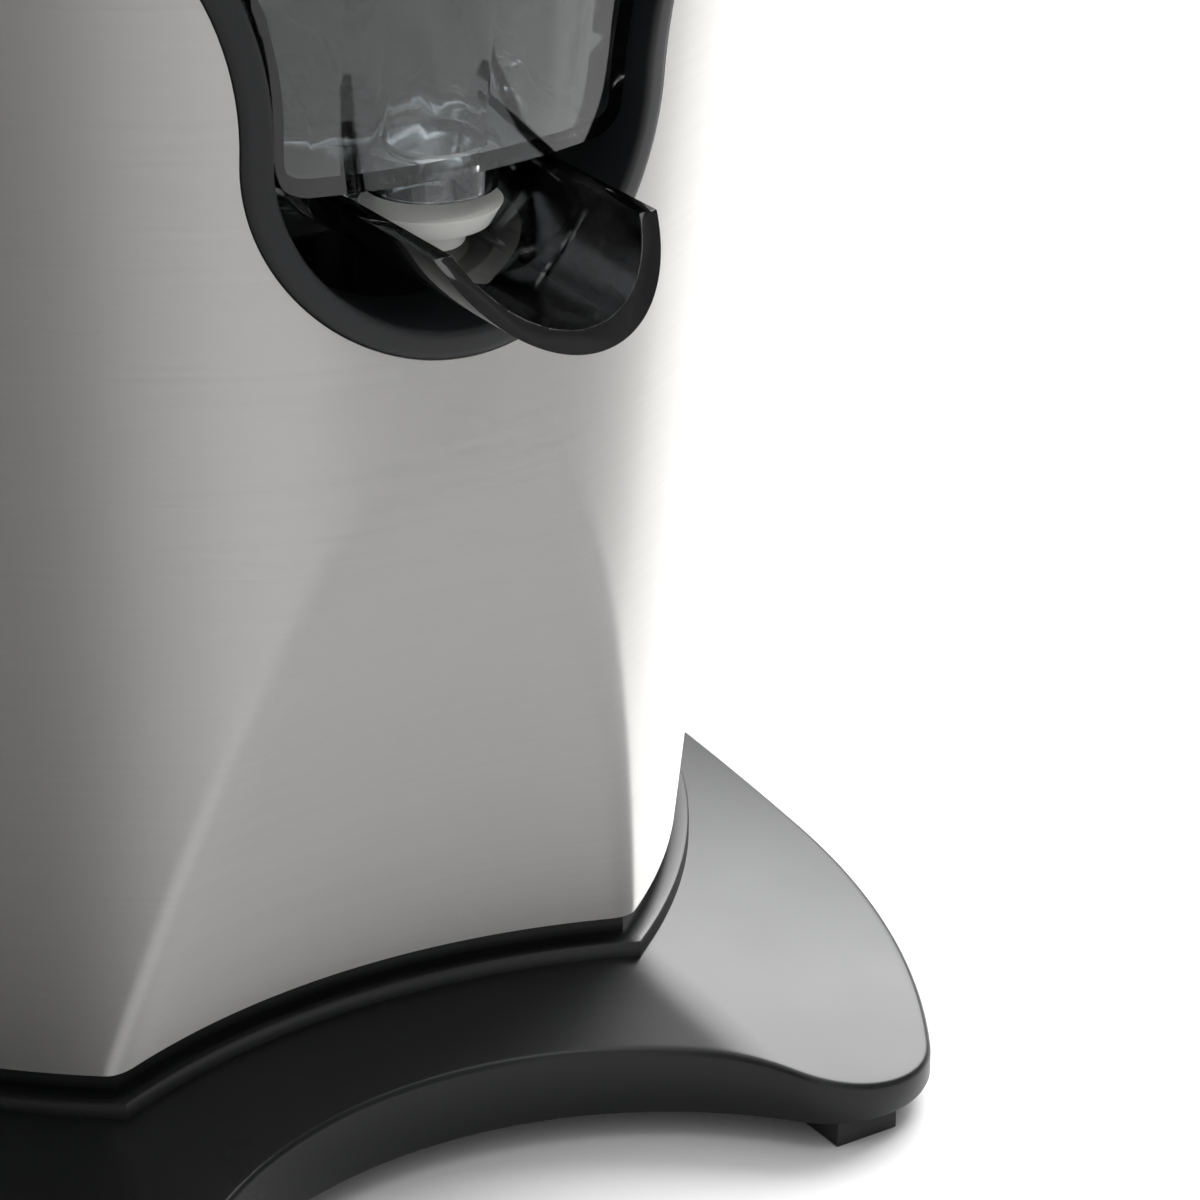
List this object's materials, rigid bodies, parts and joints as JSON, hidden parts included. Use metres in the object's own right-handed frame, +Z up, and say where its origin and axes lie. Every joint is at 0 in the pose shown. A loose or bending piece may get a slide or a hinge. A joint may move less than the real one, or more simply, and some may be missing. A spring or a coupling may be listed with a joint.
{
  "type": "electric citrus press",
  "caption": "Lever-arm electric citrus press: tapered steel oval body hollowed in front for a glass, flip-up clear spout, clear bowl, filter, reamer and press dome.",
  "frame": {"origin": "on the table, under the middle of the overall box (arm down)", "axes": "+Z up, -Y to the front where the spout is, +X to the machine's own left side (the viewer's right)"},
  "size_m": [0.2012, 0.2662, 0.2714],
  "materials": {
    "brushed_steel": "brushed",
    "polished_steel": "satin",
    "arm_alloy": "satin",
    "black_plastic": "fine grain",
    "inner_plastic": "moulded",
    "bezel_plastic": "matte",
    "reamer_plastic": "semi-gloss",
    "clear_plastic": "clear polycarbonate",
    "silicone": "soft, matte",
    "seal_rubber": "soft, matte",
    "foot_rubber": "soft, matte",
    "grip_rubber": "soft, matte",
    "screw_steel": "zinc plated",
    "pin_steel": "ground",
    "motor_steel": "drawn sheet",
    "magnet": "sintered",
    "copper": "varnished winding",
    "brass": "turned",
    "gear_plastic": "moulded acetal",
    "case_plastic": "moulded nylon",
    "board": "solder-masked laminate",
    "switch_plastic": "moulded",
    "button_plastic": "moulded"
  },
  "bodies": {
    "housing": {"base": "black_plastic", "bottom_cover": "black_plastic", "cover_screws": "screw_steel", "foot_front_left": "foot_rubber", "foot_front_right": "foot_rubber", "foot_rear_left": "foot_rubber", "foot_rear_right": "foot_rubber", "body_skin": "brushed_steel", "spout_bezel": "bezel_plastic", "deck": "inner_plastic", "recess_liner": "inner_plastic", "post_screws": "screw_steel", "top_ring": "black_plastic", "cord_gland": "foot_rubber", "gearbox_case": "case_plastic", "gearbox_cover": "case_plastic", "gearbox_screws": "screw_steel", "idler_pin": "pin_steel", "motor_can": "motor_steel", "motor_end_cap": "switch_plastic", "motor_magnets": "magnet", "motor_screws": "screw_steel", "spindle_bush": "brass", "shaft_seal": "seal_rubber", "return_spring": "pin_steel", "switch_bracket": "motor_steel", "bracket_screws": "screw_steel", "micro_switch": "switch_plastic", "control_board": "board", "juice_bowl": "clear_plastic", "spout_pin": "pin_steel", "filter": "polished_steel", "hinge_bracket": "black_plastic", "bracket_bolts": "screw_steel", "hinge_pin": "pin_steel"},
    "output": {"output_gear": "gear_plastic"},
    "cone": {"spindle": "pin_steel", "reamer": "reamer_plastic"},
    "idler": {"idler_gear": "gear_plastic"},
    "motor": {"motor_rotor": "copper", "motor_pinion": "brass", "cooling_fan": "switch_plastic"},
    "plunger": {"switch_plunger": "button_plastic"},
    "trough": {"spout": "clear_plastic", "drip_pad": "silicone"},
    "arm": {"press_arm": "arm_alloy", "arm_grip": "grip_rubber", "yoke_pin": "pin_steel"},
    "dome": {"press_dome": "polished_steel"}
  },
  "joints": [
    {"name": "output_spin", "type": "hinge", "parent": "housing", "child": "output", "pos_m": [0, -0.00796, 0.09], "axis": [0, 0, 1], "continuous": true},
    {"name": "cone_press", "type": "slide", "parent": "output", "child": "cone", "axis": [0, 0, -1], "range_m": [0, 0.0025], "stiffness_N_per_m": 2000, "springref_m": -0.004, "deforming": ["return_spring"]},
    {"name": "idler_spin", "type": "hinge", "parent": "housing", "child": "idler", "pos_m": [0.00973, 0.02566, 0.09], "axis": [0, 0, 1], "continuous": true},
    {"name": "motor_spin", "type": "hinge", "parent": "housing", "child": "motor", "pos_m": [0, 0.05404, 0.06], "axis": [0, 0, 1], "continuous": true},
    {"name": "plunger_press", "type": "slide", "parent": "housing", "child": "plunger", "axis": [0, 0, -1], "range_m": [0, 0.0025]},
    {"name": "spout_flip", "type": "hinge", "parent": "housing", "child": "trough", "pos_m": [0, -0.07197, 0.1375], "axis": [-1, 0, 0], "range_deg": [0, 4.5]},
    {"name": "arm_lift", "type": "hinge", "parent": "housing", "child": "arm", "pos_m": [0, 0.10404, 0.233], "axis": [-1, 0, 0], "range_deg": [0, 70]},
    {"name": "dome_tilt", "type": "hinge", "parent": "arm", "child": "dome", "pos_m": [0, -0.00796, 0.242], "axis": [-1, 0, 0], "range_deg": [-5, 5]}
  ],
  "couplings": [
    {"joint": "idler_spin", "follows": "output_spin", "ratio": -3.6667},
    {"joint": "motor_spin", "follows": "output_spin", "ratio": 14.667},
    {"joint": "plunger_press", "follows": "cone_press", "ratio": 1}
  ]
}
